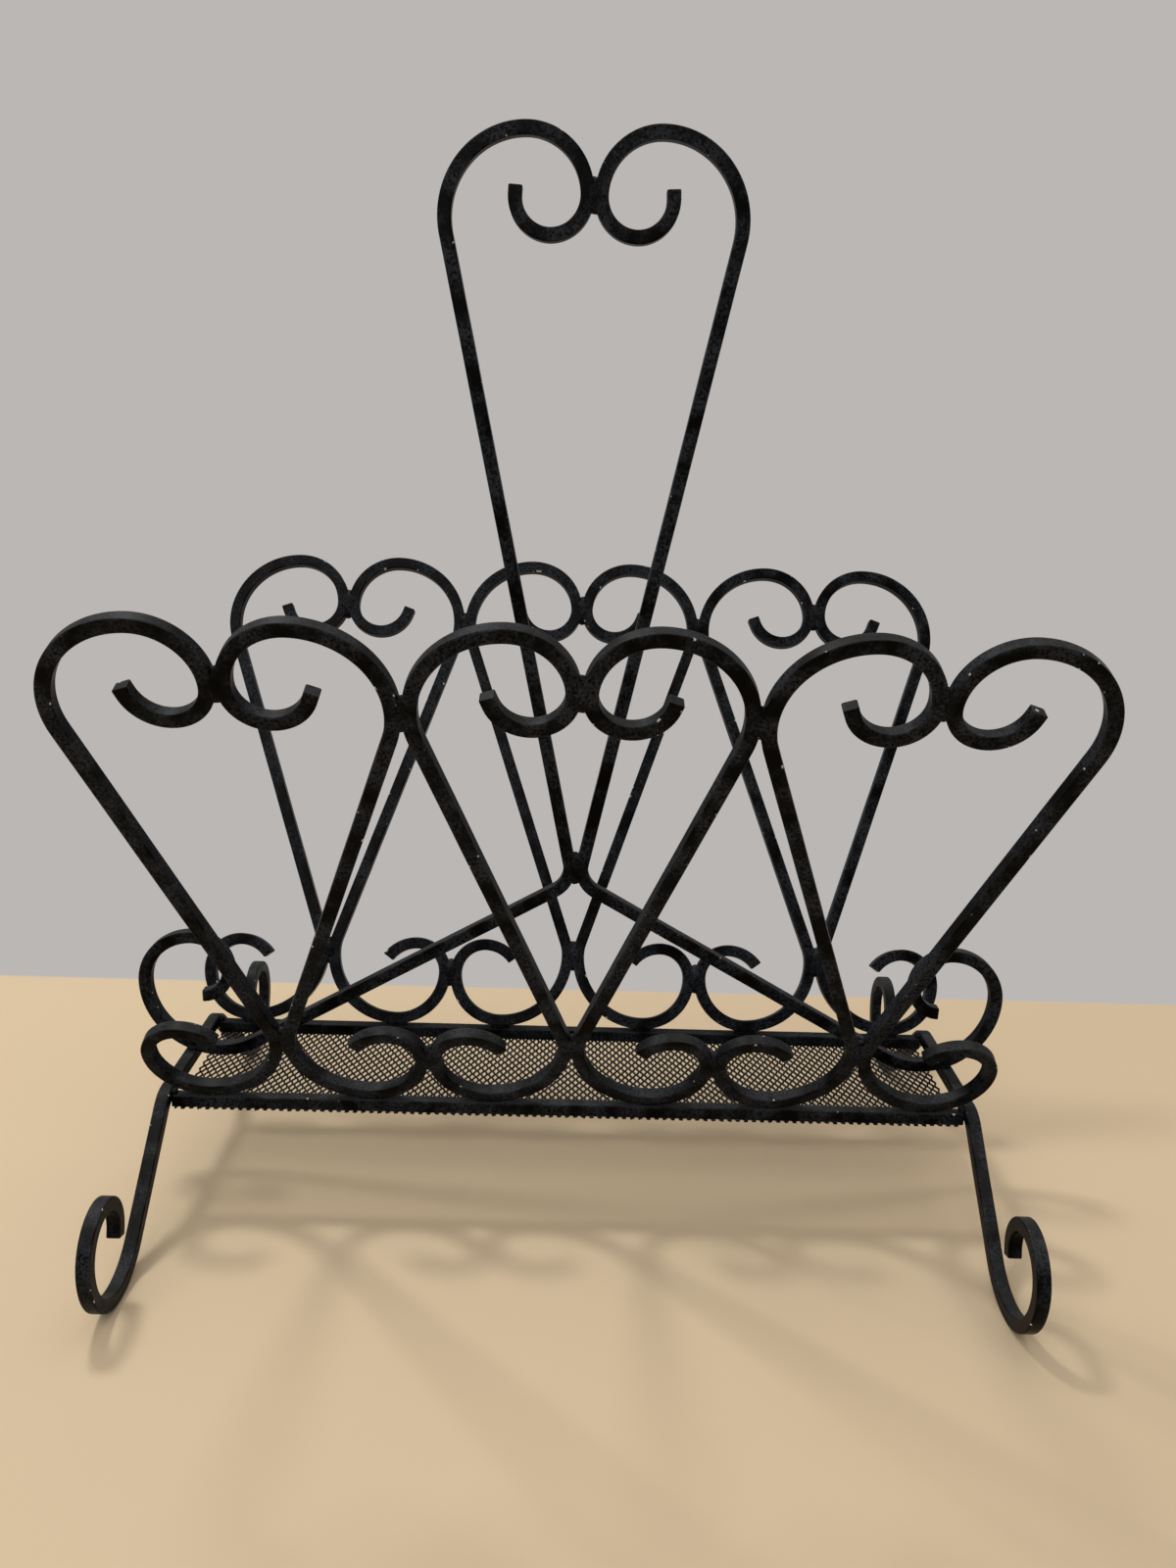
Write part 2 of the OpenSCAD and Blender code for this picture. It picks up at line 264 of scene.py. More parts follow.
@dataclass(frozen=True)
class SquareBar:
    """Hot-rolled square bar with softly rounded corners and square-cut, filed ends."""

    side: float
    corner_radius: float = 0.8
    end_bevel: float = 0.45
    ring_spacing: float = 1.8
    unevenness: float = 0.05
    wave_lengths: tuple[float, float, float] = (41.0, 17.0, 7.3)
    support: float = 0.35

    @property
    def half(self) -> float:
        """Half the bar's side."""
        return self.side / 2

    def profile(self) -> tuple[Array, Array]:
        """Cross-section: one quarter turned four times.

        A quarter is the middle of a flat, a support point close to the corner, a quarter circle and
        the next flat's support point. The support points keep the flats flat when shaded smooth.

        Returns:
            Points (n, 2) anticlockwise, and how much each belongs to a corner (n,).
        """
        h, r = self.half - self.unevenness, self.corner_radius
        angle = np.linspace(0, math.pi / 2, 5)
        arc = (h - r) + r * np.stack([np.cos(angle), np.sin(angle)], axis=-1)
        beside = h - r - self.support
        quarter = np.concatenate([[[h, 0.0], [h, beside]], arc, [[beside, h]]])
        turns = np.radians([0, 90, 180, 270])
        c, s = np.cos(turns)[:, None], np.sin(turns)[:, None]
        x, y = quarter[:, 0][None], quarter[:, 1][None]
        points = np.stack([x * c - y * s, x * s + y * c], axis=-1).reshape(-1, 2)
        return points, np.tile([0, 0, 0.5, 1, 1, 1, 0.5, 0], 4).astype(float)

    def sweep(self, path: Path, place: Placement, seed: int) -> Surface:
        """The profile carried along a path.

        A point is the centre line's position, plus its first profile coordinate along the plane's
        normal to the path, plus its second across the plane. At both ends the profile shrinks over
        the filed bevel. Slow seeded waves move the surface by a few hundredths of a millimetre.

        Args:
            path: The bar's centre line.
            place: Takes points of the bar's own plane to the rack.
            seed: Seed of the unevenness.

        Returns:
            The closed surface.
        """
        total, b = path.total(), self.end_bevel
        middle = np.linspace(2 * b, total - 2 * b, max(2, int(total / self.ring_spacing)))
        s = np.concatenate([[0, 0, 0.3 * b, b], middle, [total - b, total - 0.3 * b, total, total]])
        near = np.array([2 * b, b, 0.3 * b, 0]) / self.half
        scale = 1 - np.concatenate([near, np.zeros(len(middle)), near[::-1]])
        centre, heading = path.at(s)
        section, corner = self.profile()
        rng = np.random.default_rng(seed)
        phase = rng.uniform(0, 2 * math.pi, (2, 3))
        waves = np.sin(s[:, None, None] / np.array(self.wave_lengths) + phase).mean(axis=2)
        offset = section[None] * scale[:, None, None] + self.unevenness * waves[:, None, :]
        normal = np.stack([-np.sin(heading), np.cos(heading)], axis=-1)
        flat = centre[:, None] + offset[..., :1] * normal[:, None]
        points = np.concatenate([flat, offset[..., 1:]], axis=-1)
        rings, around = points.shape[:2]
        i, j = np.meshgrid(np.arange(rings - 1), np.arange(around), indexing="ij")
        after = (j + 1) % around
        corners = [(i, j), (i, after), (i + 1, after), (i + 1, j)]
        quads = np.stack([a * around + c for a, c in corners], axis=-1).reshape(-1, 4)
        first = list(range(around))[::-1]
        last = list(range((rings - 1) * around, rings * around))
        edge = np.broadcast_to(corner, (rings, around)).copy()
        edge[:3], edge[-3:] = 1, 1
        return Surface(place(points.reshape(-1, 3)), quads, [first, last], edge.ravel()).outward()


# ---- Finishes ----


def linear(hex_colour: str) -> tuple[float, float, float, float]:
    """An sRGB colour as linear light.

    Args:
        hex_colour: The colour, such as '#1A1A18'.

    Returns:
        Linear red, green, blue and full alpha.
    """
    value = np.array([int(hex_colour[i:i + 2], 16) / 255 for i in (1, 3, 5)])
    low, high = value / 12.92, ((value + 0.055) / 1.055) ** 2.4
    r, g, b = np.where(value <= 0.04045, low, high)
    return float(r), float(g), float(b), 1.0


def per_metre(size_mm: float) -> float:
    """Texture scale that gives features of a size in millimetres."""
    return 1000 / size_mm


def add_node(tree: bpy.types.NodeTree, kind: str, inputs: dict[Any, Any] | None = None,
             **settings: Any) -> bpy.types.Node:
    """Adds a node with its settings, and sets or links its inputs.

    Args:
        tree: The material's node tree.
        kind: Blender's name for the node type.
        inputs: Values or output sockets, by input name or number.
        **settings: Properties of the node itself.

    Returns:
        The node.
    """
    made = tree.nodes.new(kind)
    for name, value in settings.items():
        setattr(made, name, value)
    for name, value in (inputs or {}).items():
        if isinstance(value, bpy.types.NodeSocket):
            tree.links.new(value, made.inputs[name])
        else:
            made.inputs[name].default_value = value
    return made


@dataclass(frozen=True)
class SatinBlackPaint:
    """Brushed-on satin black enamel over hot-rolled mild steel.

    It reads as near-black sides with a soft grey on the faces that look up, which is partly settled
    dust and partly painted light from above, a finely grained uneven film, corners rubbed thin and
    a few chips down to pale primer.
    """

    name: str
    deep: str = "#020202"
    worn: str = "#25282D"
    rubbed: str = "#2B2E32"
    primer: str = "#B8B2A6"
    # Pale grey of the faces that look up: settled dust and painted light from above.
    dust_and_top_light: str = "#747472"
    roughness: tuple[float, float] = (0.27, 0.52)
    gloss: float = 0.045
    film_mm: float = 0.05
    dent_mm: float = 0.15
    lump_mm: float = 0.0
    dust_and_top_light_amount: float = 0.22
    chips: bool = True

    def material(self) -> bpy.types.Material:
        """Builds the finish.

        Returns:
            The material, with its patterns on Object coordinates and the pieces' own attributes.
        """
        made = bpy.data.materials.new(self.name)
        made.use_nodes = True
        tree = made.node_tree
        tree.nodes.clear()
        where = add_node(tree, "ShaderNodeTexCoord").outputs["Object"]
        # Brush strokes and film thickness change tone over a few centimetres.
        patch = add_node(tree, "ShaderNodeTexNoise",
                         {"Vector": where, "Scale": per_metre(16), "Detail": 5.0}).outputs[0]
        # Orange peel of the paint film, coarsened to 1.3 mm so that it shows.
        peel = add_node(tree, "ShaderNodeTexNoise",
                        {"Vector": where, "Scale": per_metre(1.3), "Detail": 2.0}).outputs[0]
        # Rolling and hammering leave shallow dents about 9 mm across.
        dent = add_node(tree, "ShaderNodeTexNoise",
                        {"Vector": where, "Scale": per_metre(9), "Detail": 2.0}).outputs[0]
        thin = add_node(tree, "ShaderNodeMapRange", {"Value": patch, "From Min": 0.38,
                                                     "From Max": 0.64}).outputs[0]
        # The film is thinner on the tops of the orange peel, which gives it a fine grey grain.
        grain = add_node(tree, "ShaderNodeMapRange",
                         {"Value": peel, "From Min": 0.36, "From Max": 0.66,
                          "To Max": 1.5}).outputs[0]
        thin = add_node(tree, "ShaderNodeMath", {0: thin, 1: grain}, operation="MULTIPLY",
                        use_clamp=True).outputs[0]
        tone = add_node(tree, "ShaderNodeMix", {"Factor": thin, 6: linear(self.deep),
                                                7: linear(self.worn)}, data_type="RGBA").outputs[2]
        edge = add_node(tree, "ShaderNodeAttribute", attribute_name="edge").outputs["Fac"]
        rub = add_node(tree, "ShaderNodeMapRange", {"Value": patch, "From Min": 0.45,
                                                    "From Max": 0.65, "To Max": 0.6}).outputs[0]
        rub = add_node(tree, "ShaderNodeMath", {0: rub, 1: edge}, operation="MULTIPLY").outputs[0]
        tone = add_node(tree, "ShaderNodeMix", {"Factor": rub, 6: tone, 7: linear(self.rubbed)},
                        data_type="RGBA").outputs[2]
        # Faces that look up turn pale grey: partly settled dust, partly painted light from above.
        normal = add_node(tree, "ShaderNodeNewGeometry").outputs["Normal"]
        facing = add_node(tree, "ShaderNodeSeparateXYZ", {0: normal}).outputs["Z"]
        upward_dust_and_light = add_node(tree, "ShaderNodeMapRange",
                        {"Value": facing, "From Min": 0.45, "From Max": 1.0,
                         "To Max": self.dust_and_top_light_amount}).outputs[0]
        dust_and_top_light_mask = add_node(tree, "ShaderNodeMath", {0: upward_dust_and_light, 1: dent}, operation="MULTIPLY").outputs[0]
        tone = add_node(tree, "ShaderNodeMix", {"Factor": dust_and_top_light_mask, 6: tone, 7: linear(self.dust_and_top_light)},
                        data_type="RGBA").outputs[2]
        if self.chips:
            # Chips 1 to 2 mm across, only on the rubbed corners and only where two patterns agree.
            spot = add_node(tree, "ShaderNodeTexNoise",
                            {"Vector": where, "Scale": per_metre(3.5), "Detail": 1.0}).outputs[0]
            spot = add_node(tree, "ShaderNodeMapRange",
                            {"Value": spot, "From Min": 0.735, "From Max": 0.75}).outputs[0]
            chip = add_node(tree, "ShaderNodeMath", {0: spot, 1: edge},
                            operation="MULTIPLY").outputs[0]
            tone = add_node(tree, "ShaderNodeMix",
                            {"Factor": chip, 6: tone, 7: linear(self.primer)},
                            data_type="RGBA").outputs[2]
        rough = add_node(tree, "ShaderNodeMapRange",
                         {"Value": patch, "From Min": 0.3, "From Max": 0.7,
                          "To Min": self.roughness[0], "To Max": self.roughness[1]}).outputs[0]
        rough = add_node(tree, "ShaderNodeMath", {0: rough, 1: dust_and_top_light_mask}, operation="ADD").outputs[0]
        film = add_node(tree, "ShaderNodeBump", {"Strength": 0.5, "Distance": self.film_mm * MM,
                                                 "Height": peel}).outputs[0]
        depth = (self.dent_mm + self.lump_mm) * MM
        relief = add_node(tree, "ShaderNodeBump", {"Strength": 0.6, "Distance": depth,
                                                   "Height": dent, "Normal": film}).outputs[0]
        shader = add_node(tree, "ShaderNodeBsdfPrincipled",
                          {"Base Color": tone, "Roughness": rough, "Normal": relief,
                           "IOR": 1.5, "Metallic": 0.0, "Specular IOR Level": self.gloss})
        add_node(tree, "ShaderNodeOutputMaterial", {"Surface": shader.outputs[0]})
        return made


# ---- Parts of the rack ----


@dataclass(frozen=True)
class Panels:
    """The two leaning sides, each of three hearts standing on outward bowls."""

    bar: SquareBar
    rail_y: float
    rail_top: float
    lean: float = 23.5
    brim: float = 2.85
    point_radius: float = 25.0
    heart_angle: float = 19.0
    crown_outer: float = 40.0
    crown_inner: float = 28.0
    bowl_inner: float = 40.0
    # Radius and turn of each bend, or length and no turn of a straight.
    up_end: tuple[Step, ...] = ((28.0, -90.0), (17.5, -90.0), (18.0, -70.0), (4.0, 0.0))
    down: tuple[Step, ...] = ((40.0, -90.0), (28.0, -90.0), (17.5, -90.0), (21.5, -54.0))

    @property
    def lobe(self) -> float:
        """Distance from the heart's middle line to the widest part of its bar's centre line."""
        return self.crown_outer + self.crown_inner

    @property
    def pitch(self) -> float:
        """Distance between two hearts' middle lines."""
        return 2 * (self.lobe + self.bar.side)

    @property
    def straight_side(self) -> float:
        """Length of a heart's straight side.

        Returns:
            The length that takes the bar from the heart's point to its widest place.
        """
        a = math.radians(self.heart_angle)
        spread = (self.point_radius + self.crown_outer) * (1 - math.cos(a))
        return (self.lobe - spread) / math.sin(a)

    @property
    def widest(self) -> float:
        """Height up the panel where neighbouring hearts touch.

        Returns:
            The height of the widest points above the panel's foot.
        """
        a = math.radians(self.heart_angle)
        rise = (self.point_radius + self.crown_outer) * math.sin(a)
        return self.bowl_inner + rise + self.straight_side * math.cos(a)

    def route(self) -> Path:
        """Centre line of a left heart bar in its plane, from the bowl's tip to the crown's tip.

        Returns:
            The path, with the heart's middle line at zero.
        """
        up = ((self.point_radius, self.heart_angle), (self.straight_side, 0.0),
              (self.crown_outer, -(90 + self.heart_angle))) + self.up_end
        return both_ways(self.down, up, (-self.bar.half, self.bowl_inner), -90)

    def place(self, points: Array, side: Side, shift: float, hand: Hand) -> Array:
        """Takes points of a heart's plane (along, up, out) to the rack.

        The plane is turned about X by a right angle plus the lean and moved onto the rail; the rear
        panel is its mirror image.

        Args:
            points: Points of the heart's plane.
            side: The panel that the heart is in.
            shift: The heart's place along the panel.
            hand: The half of the heart.

        Returns:
            The points in the rack's frame.
        """
        turn = math.radians(90 + self.lean)
        lean = math.radians(self.lean)
        foot = self.rail_top + self.bar.half * math.cos(lean) + self.brim * math.sin(lean)
        u, v, w = points[:, 0] * -hand.value + shift, points[:, 1], points[:, 2]
        y = -self.rail_y + v * math.cos(turn) - w * math.sin(turn)
        z = foot + v * math.sin(turn) + w * math.cos(turn)
        return np.stack([u, y * -side.value, z], axis=-1)

    def build(self, paint: bpy.types.Material) -> None:
        """Makes the twelve heart bars.

        Args:
            paint: Their finish.
        """
        path = self.route()
        for side in Side:
            for heart in (1, 2, 3):
                for hand in Hand:
                    node = f"{side.name.lower()}_heart_{heart}_{hand.name.lower()}_bar"
                    shift = (heart - 2) * self.pitch
                    seed = 100 * (side.value + 2) + 10 * heart + hand.value
                    shape = self.bar.sweep(path, lambda p: self.place(p, side, shift, hand), seed)
                    add_piece(node, shape, paint, True)


@dataclass(frozen=True)
class Handle:
    """The tall heart-topped handle that divides the rack, of two bars that meet at its waist."""

    bar: SquareBar
    top_z: float
    waist_radius: float = 15.0
    waist_turn: float = 60.5
    brace: float = 194.0
    angle: float = 12.0
    outer: float = 40.0
    inner: float = 29.0
    up_end: tuple[Step, ...] = ((29.0, -90.0), (18.0, -90.0), (17.0, -93.0), (4.0, 0.0))
    down_end: tuple[Step, ...] = ((27.0, -90.0), (20.0, -90.0), (15.0, -89.0))
    end_scroll: float = 41.0

    @property
    def straight_side(self) -> float:
        """Length of a handle upright.

        Returns:
            The length that takes the upright from the waist to the widest point.
        """
        a = math.radians(self.angle)
        spread = (self.waist_radius + self.outer) * (1 - math.cos(a))
        return (self.outer + self.inner - spread) / math.sin(a)

    @property
    def rise(self) -> float:
        """Height of the widest points above the waist."""
        a = math.radians(self.angle)
        return (self.waist_radius + self.outer) * math.sin(a) + self.straight_side * math.cos(a)

    @property
    def waist_z(self) -> float:
        """Height of the waist, worked out downwards from the top of the bar."""
        return self.top_z - self.bar.half - self.outer - self.rise

    @property
    def join_z(self) -> float:
        """Height where the two lobes touch."""
        return self.waist_z + self.rise + self.outer - self.inner

    def route(self) -> Path:
        """Centre line of the left handle bar, from its end scroll's tip to its lobe's tip.

        Returns:
            The path, with the handle's middle line at zero.
        """
        up = ((self.waist_radius, self.angle), (self.straight_side, 0.0),
              (self.outer, -(90 + self.angle))) + self.up_end
        down = ((self.waist_radius, -self.waist_turn), (self.brace, 0.0),
                (self.end_scroll, -(180 - self.waist_turn))) + self.down_end
        return both_ways(down, up, (-self.bar.half, self.waist_z), -90)

    def build(self, paint: bpy.types.Material) -> None:
        """Makes the two handle bars: along is X, up is Z and out is -Y.

        Args:
            paint: Their finish.
        """
        path = self.route()
        for hand in Hand:
            node = f"handle_{hand.name.lower()}_bar"
            shape = self.bar.sweep(
                path, lambda p: np.stack([p[:, 0] * -hand.value, -p[:, 2], p[:, 1]], axis=-1),
                500 + hand.value)
            add_piece(node, shape, paint, True)


@dataclass(frozen=True)
class Base:
    """Two leg hoops with scroll feet, and the two rails between them."""

    bar: SquareBar
    hoop_x: float
    rail_y: float
    rail_z: float
    end_bar_z: float
    corner_spacing: float = 98.0
    corner_radius: float = 18.0
    leg_angle: float = 41.5
    heel: float = 40.0
    foot_end: tuple[Step, ...] = ((31.0, 90.0), (21.0, 90.0), (17.0, 104.0), (4.0, 0.0))

    @property
    def end_bar_half(self) -> float:
        """Half the straight part of an end bar."""
        taken = self.corner_radius * math.tan(math.radians(self.leg_angle / 2))
        return self.corner_spacing / 2 - taken

    @property
    def leg(self) -> float:
        """Straight length of a leg.

        Returns:
            The length that puts the foot's sole on the ground.
        """
        a = math.radians(self.leg_angle)
        drop = self.end_bar_z - self.bar.half
        return (drop - (self.corner_radius + self.heel) * (1 - math.cos(a))) / math.sin(a)

    def build(self, paint: bpy.types.Material) -> None:
        """Makes the hoops, whose plane is YZ, and the rails along X.

        Args:
            paint: Their finish.
        """
        right = ((self.corner_radius, -self.leg_angle), (self.leg, 0.0),
                 (self.heel, self.leg_angle)) + self.foot_end
        left = tuple((r, -t) for r, t in right)
        ahead = ((2 * self.end_bar_half, 0.0),) + right
        path = both_ways(left, ahead, (-self.end_bar_half, 0.0), 180)
        for hand in Hand:
            node = f"{hand.name.lower()}_leg_hoop"
            x = hand.value * self.hoop_x
            shape = self.bar.sweep(
                path, lambda p: np.stack([p[:, 2] + x, p[:, 0], p[:, 1] + self.end_bar_z], axis=-1),
                600 + hand.value)
            add_piece(node, shape, paint, True)
        length = 2 * self.hoop_x - self.bar.side
        rail = Path(((length, 0.0),), (-length / 2, 0.0), 0.0)
        for side in Side:
            node = f"{side.name.lower()}_rail"
            y = side.value * self.rail_y
            shape = self.bar.sweep(
                rail, lambda p: np.stack([p[:, 0], p[:, 1] + y, p[:, 2] + self.rail_z], axis=-1),
                700 + side.value)
            add_piece(node, shape, paint, True)


@dataclass(frozen=True)
class ExpandedFloor:
    """Expanded-metal sheet under the rails.

    The slit sheet was stretched along X, so each strand zigzags along Y and meets its neighbours at
    flat bonds. The diamonds are 4.41 mm by 7.36 mm. Cut strand ends show as small teeth.
    """

    half_length: float
    half_width: float
    top: float
    rail_gap: float
    short_way: float = 4.41
    long_way: float = 7.36
    strand_width: float = 1.02
    strand_thickness: float = 0.75
    bond_share: float = 0.3
    bond_overlap: float = 0.02
    strand_tip: float = 14.0
    points_per_period: int = 8
    sag: float = 1.2
    edge_droop: float = 0.15
    droop_reach: float = 2.0
    cut_unevenness: float = 0.35
    seed: int = 7

    def build(self, paint: bpy.types.Material) -> None:
        """Makes every strand at once as one mesh of separate closed bars.

        Args:
            paint: Their finish.
        """
        pitch = self.short_way / 2
        count = int(2 * self.half_length / pitch)
        rng = np.random.default_rng(self.seed)
        rings = int(2 * self.half_width / self.long_way * self.points_per_period)
        t = np.linspace(-1, 1, rings)
        # Cut ends are uneven by a few tenths of a millimetre, so each strand has its own reach.
        uneven = self.cut_unevenness
        reach = self.half_width + rng.uniform(-uneven, uneven, (count, 1))
        y = t[None] * reach
        k = np.arange(count)[:, None]
        # Trapezoid wave between -1 and 1: a triangle wave, steepened and clipped at its bonds.
        turn = (y / self.long_way + 0.5 * (k % 2)) % 1.0
        wave = np.clip((4 * np.abs(turn - 0.5) - 1) / (1 - self.bond_share), -1, 1)
        middle = (k - (count - 1) / 2) * pitch
        x = middle + (pitch / 2 - self.strand_width / 2 + self.bond_overlap) * wave
        # The sheet hangs between the rails as the product of two parabolas. Its free edge droops.
        across_rails = (1 - (y / self.rail_gap) ** 2).clip(0, 1)
        hang = self.sag * across_rails * (1 - (x / self.half_length) ** 2)
        past = (np.abs(y) - self.half_width + self.droop_reach).clip(0, None)
        droop = self.edge_droop * (past / self.droop_reach) ** 2
        z = self.top - self.strand_thickness / 2 - hang - droop
        # Stretching tips each strand between its bonds.
        tip = np.radians(self.strand_tip) * (1 - np.abs(wave))
        hw, ht = self.strand_width / 2, self.strand_thickness / 2
        across = np.array([[-hw, -ht], [hw, -ht], [hw, ht], [-hw, ht]])
        c, s = np.cos(tip)[..., None], np.sin(tip)[..., None]
        px = x[..., None] + across[:, 0] * c - across[:, 1] * s
        pz = z[..., None] + across[:, 0] * s + across[:, 1] * c
        py = np.broadcast_to(y[..., None], px.shape)
        points = np.stack([px, py, pz], axis=-1).reshape(-1, 3)
        n, m, q = np.meshgrid(np.arange(count), np.arange(rings - 1), np.arange(4), indexing="ij")
        base, after = (n * rings + m) * 4, (q + 1) % 4
        corners = [base + q, base + 4 + q, base + 4 + after, base + after]
        quads = np.stack(corners, axis=-1).reshape(-1, 4)
        first = np.arange(count)[:, None] * rings * 4
        caps = np.concatenate([first + np.arange(4), first + (rings - 1) * 4 + np.arange(4)[::-1]])
        surface = Surface(points, np.concatenate([quads, caps])).outward()
        add_piece("mesh_floor", surface, paint, False)


@dataclass(frozen=True)
class Welds:
    """Arc-weld beads at every joint, with a few drops of spatter.

    Sizes with two values are the ends of a range that each bead's size is drawn from.
    """

    panels: Panels
    handle: Handle
    base: Base
    bead_half_width: tuple[float, float] = (5.4, 6.3)
    bead_half_length: tuple[float, float] = (8.6, 10.2)
    bead_half_depth: tuple[float, float] = (4.3, 4.8)
    drop_radius: tuple[float, float] = (0.35, 0.75)
    drop_away: tuple[float, float] = (9.5, 13.0)
    drop_aside: float = 1.4
    seat_half_length: tuple[float, float] = (6.0, 7.4)
    seat_half_height: tuple[float, float] = (1.4, 1.8)
    seat_half_depth: float = 2.3
    seat_inset: float = 1.1
    seat_rise: float = 0.65
    end_size: tuple[float, float, float] = (2.8, 3.2, 1.7)
    corner_size: tuple[float, float, float] = (2.1, 3.0, 1.8)
    corner_inset: float = 4.2
    bead_rise: float = 0.75
    seed: int = 23

    @staticmethod
    def lump(centre: tuple[float, float, float], size: tuple[float, float, float],
             rng: np.random.Generator, rows: int = 14, around: int = 22) -> Surface:
        """A closed lumpy ellipsoid.

        Each point is the centre plus the size times a direction of the unit sphere, pushed in or
        out by three seeded waves over that direction.

        Args:
            centre: Its middle.
            size: Its half sizes.
            rng: Source of the waves.
            rows: Rings from pole to pole.
            around: Points in a ring.

        Returns:
            The surface, with both poles closed.
        """
        lat = np.linspace(0, math.pi, rows + 1)[1:-1, None]
        lon = np.linspace(0, 2 * math.pi, around, endpoint=False)[None]
        ring = np.stack([np.sin(lat) * np.cos(lon), np.sin(lat) * np.sin(lon),
                         np.broadcast_to(np.cos(lat), (rows - 1, around))], axis=-1).reshape(-1, 3)
        unit = np.concatenate([ring, [[0, 0, 1.0], [0, 0, -1.0]]])
        phase_end = 6.28
        turned = unit @ rng.normal(0, 3.2, (3, 3))
        bumps = np.sin(turned + rng.uniform(0, phase_end, 3)).mean(axis=1)
        points = np.array(centre) + np.array(size) * unit * (0.94 + 0.1 * bumps)[:, None]
        i, j = np.meshgrid(np.arange(rows - 2), np.arange(around), indexing="ij")
        after = (j + 1) % around
        quads = np.stack([i * around + j, (i + 1) * around + j, (i + 1) * around + after,
                          i * around + after], axis=-1).reshape(-1, 4)
        j = np.arange(around)
        after, top, last = (j + 1) % around, (rows - 1) * around, (rows - 2) * around
        fans = [np.stack([np.full(around, top), j, after], axis=-1),
                np.stack([np.full(around, top + 1), last + after, last + j], axis=-1)]
        return Surface(points, quads, np.concatenate(fans).tolist())

    def joint(self, u: float, v: float, middle: float, path: Path,
              rng: np.random.Generator) -> list[Surface]:
        """A bead through two bars that touch side by side, with its spatter, in their own plane.

        A drop of spatter lies on the face of one of the two bars. Its place is a point of that
        bar's centre line beyond the bead's end, moved by less than the face's half width.

        Args:
            u: Its place along the plane.
            v: Its place up the plane.
            middle: The place along the plane of the path's own middle line.
            path: The centre line of one bar. The other one is its mirror image about u.
            rng: Source of its size, lumps and spatter.

        Returns:
            The bead and its drops.
        """
        size = (rng.uniform(*self.bead_half_width), rng.uniform(*self.bead_half_length),
                rng.uniform(*self.bead_half_depth))
        made = [self.lump((u, v, 0.0), size, rng)]
        line = path.at(np.linspace(0, path.total(), 2000))[0] + [middle, 0.0]
        away = np.hypot(line[:, 0] - u, line[:, 1] - v)
        near = line[(away > self.drop_away[0]) & (away < self.drop_away[1])]
        aside = self.drop_aside
        for _ in range(int(rng.integers(1, 4))):
            r = rng.uniform(*self.drop_radius)
            along, up = near[rng.integers(len(near))] + rng.uniform(-aside, aside, 2)
            spot = (u + rng.choice([-1, 1]) * (along - u), up,
                    rng.choice([-1, 1]) * (self.panels.bar.half - 0.1))
            made.append(self.lump(spot, (r, r, r), rng, 6, 8))
        return made

    def add(self, node: str, surfaces: list[Surface], paint: bpy.types.Material) -> None:
        """Joins beads into the piece that stands for one weld node."""
        add_piece(node, joined(surfaces).outward(), paint, True)

    def build(self, paint: bpy.types.Material) -> None:
        """Makes the beads of all six weld nodes.

        Args:
            paint: Their finish.
        """
        rng = np.random.default_rng(self.seed)
        panels, handle, base = self.panels, self.handle, self.base
        lobe_join = panels.widest + panels.crown_outer - panels.crown_inner
        bowl_join = panels.lobe - panels.bowl_inner
        heart, stem = panels.route(), handle.route()
        for side in Side:
            name = side.name.lower()
            beads = [self.joint(k * panels.pitch, v, k * panels.pitch, heart, rng)
                     for k in (-1, 0, 1) for v in (lobe_join, panels.bowl_inner)]
            beads += [self.joint(k * panels.pitch, v, (k + 0.5) * panels.pitch, heart, rng)
                      for k in (-0.5, 0.5) for v in (panels.widest, bowl_join)]
            flat = [one for group in beads for one in group]
            for one in flat:
                one.points = panels.place(one.points, side, 0.0, Hand.LEFT)
            self.add(f"{name}_heart_welds", flat, paint)
            seat = side.value * (base.rail_y - self.seat_inset)
            stands, level = panels.bar.half + panels.bowl_inner, panels.rail_top + self.seat_rise
            rail = [self.lump((k * panels.pitch + h * stands, seat, level),
                              (rng.uniform(*self.seat_half_length), self.seat_half_depth,
                               rng.uniform(*self.seat_half_height)), rng)
                    for k in (-1, 0, 1) for h in (-1, 1)]
            self.add(f"{name}_rail_welds", rail, paint)
        crest = base.end_bar_z + base.bar.half + self.bead_rise
        ends = [self.lump((h * base.hoop_x, 0.0, crest), self.end_size, rng) for h in (-1, 1)]
        tall = [one for z in (handle.join_z, handle.waist_z)
                for one in self.joint(0.0, z, 0.0, stem, rng)]
        for one in tall:
            one.points = np.stack([one.points[:, 0], -one.points[:, 2], one.points[:, 1]], axis=-1)
        self.add("handle_welds", tall + ends, paint)
        inside, over = base.hoop_x - self.corner_inset, panels.rail_top + self.bead_rise
        corners = [self.lump((h * inside, y * base.rail_y, over), self.corner_size, rng)
                   for h in (-1, 1) for y in (-1, 1)]
        self.add("hoop_welds", corners, paint)


# ---- Studio ----


@dataclass(frozen=True)
class Lamp:
    """A square area light, with its place, the point that it faces and its side in metres."""

    name: str
    at: tuple[float, float, float]
    to: tuple[float, float, float]
    size: float
    watts: float

    def build(self) -> None:
        """Adds the light, turned from straight down to face its point."""
        light = bpy.data.lights.new(self.name, "AREA")
        light.size, light.energy = self.size, self.watts
        lamp = bpy.data.objects.new(self.name, light)
        aim = np.array(self.to) - np.array(self.at)
        bpy.context.scene.collection.objects.link(lamp)
        flat = math.hypot(aim[0], aim[1])
        lamp.location = self.at
        lamp.rotation_euler = (math.atan2(flat, -aim[2]), 0.0, math.atan2(-aim[0], aim[1]))


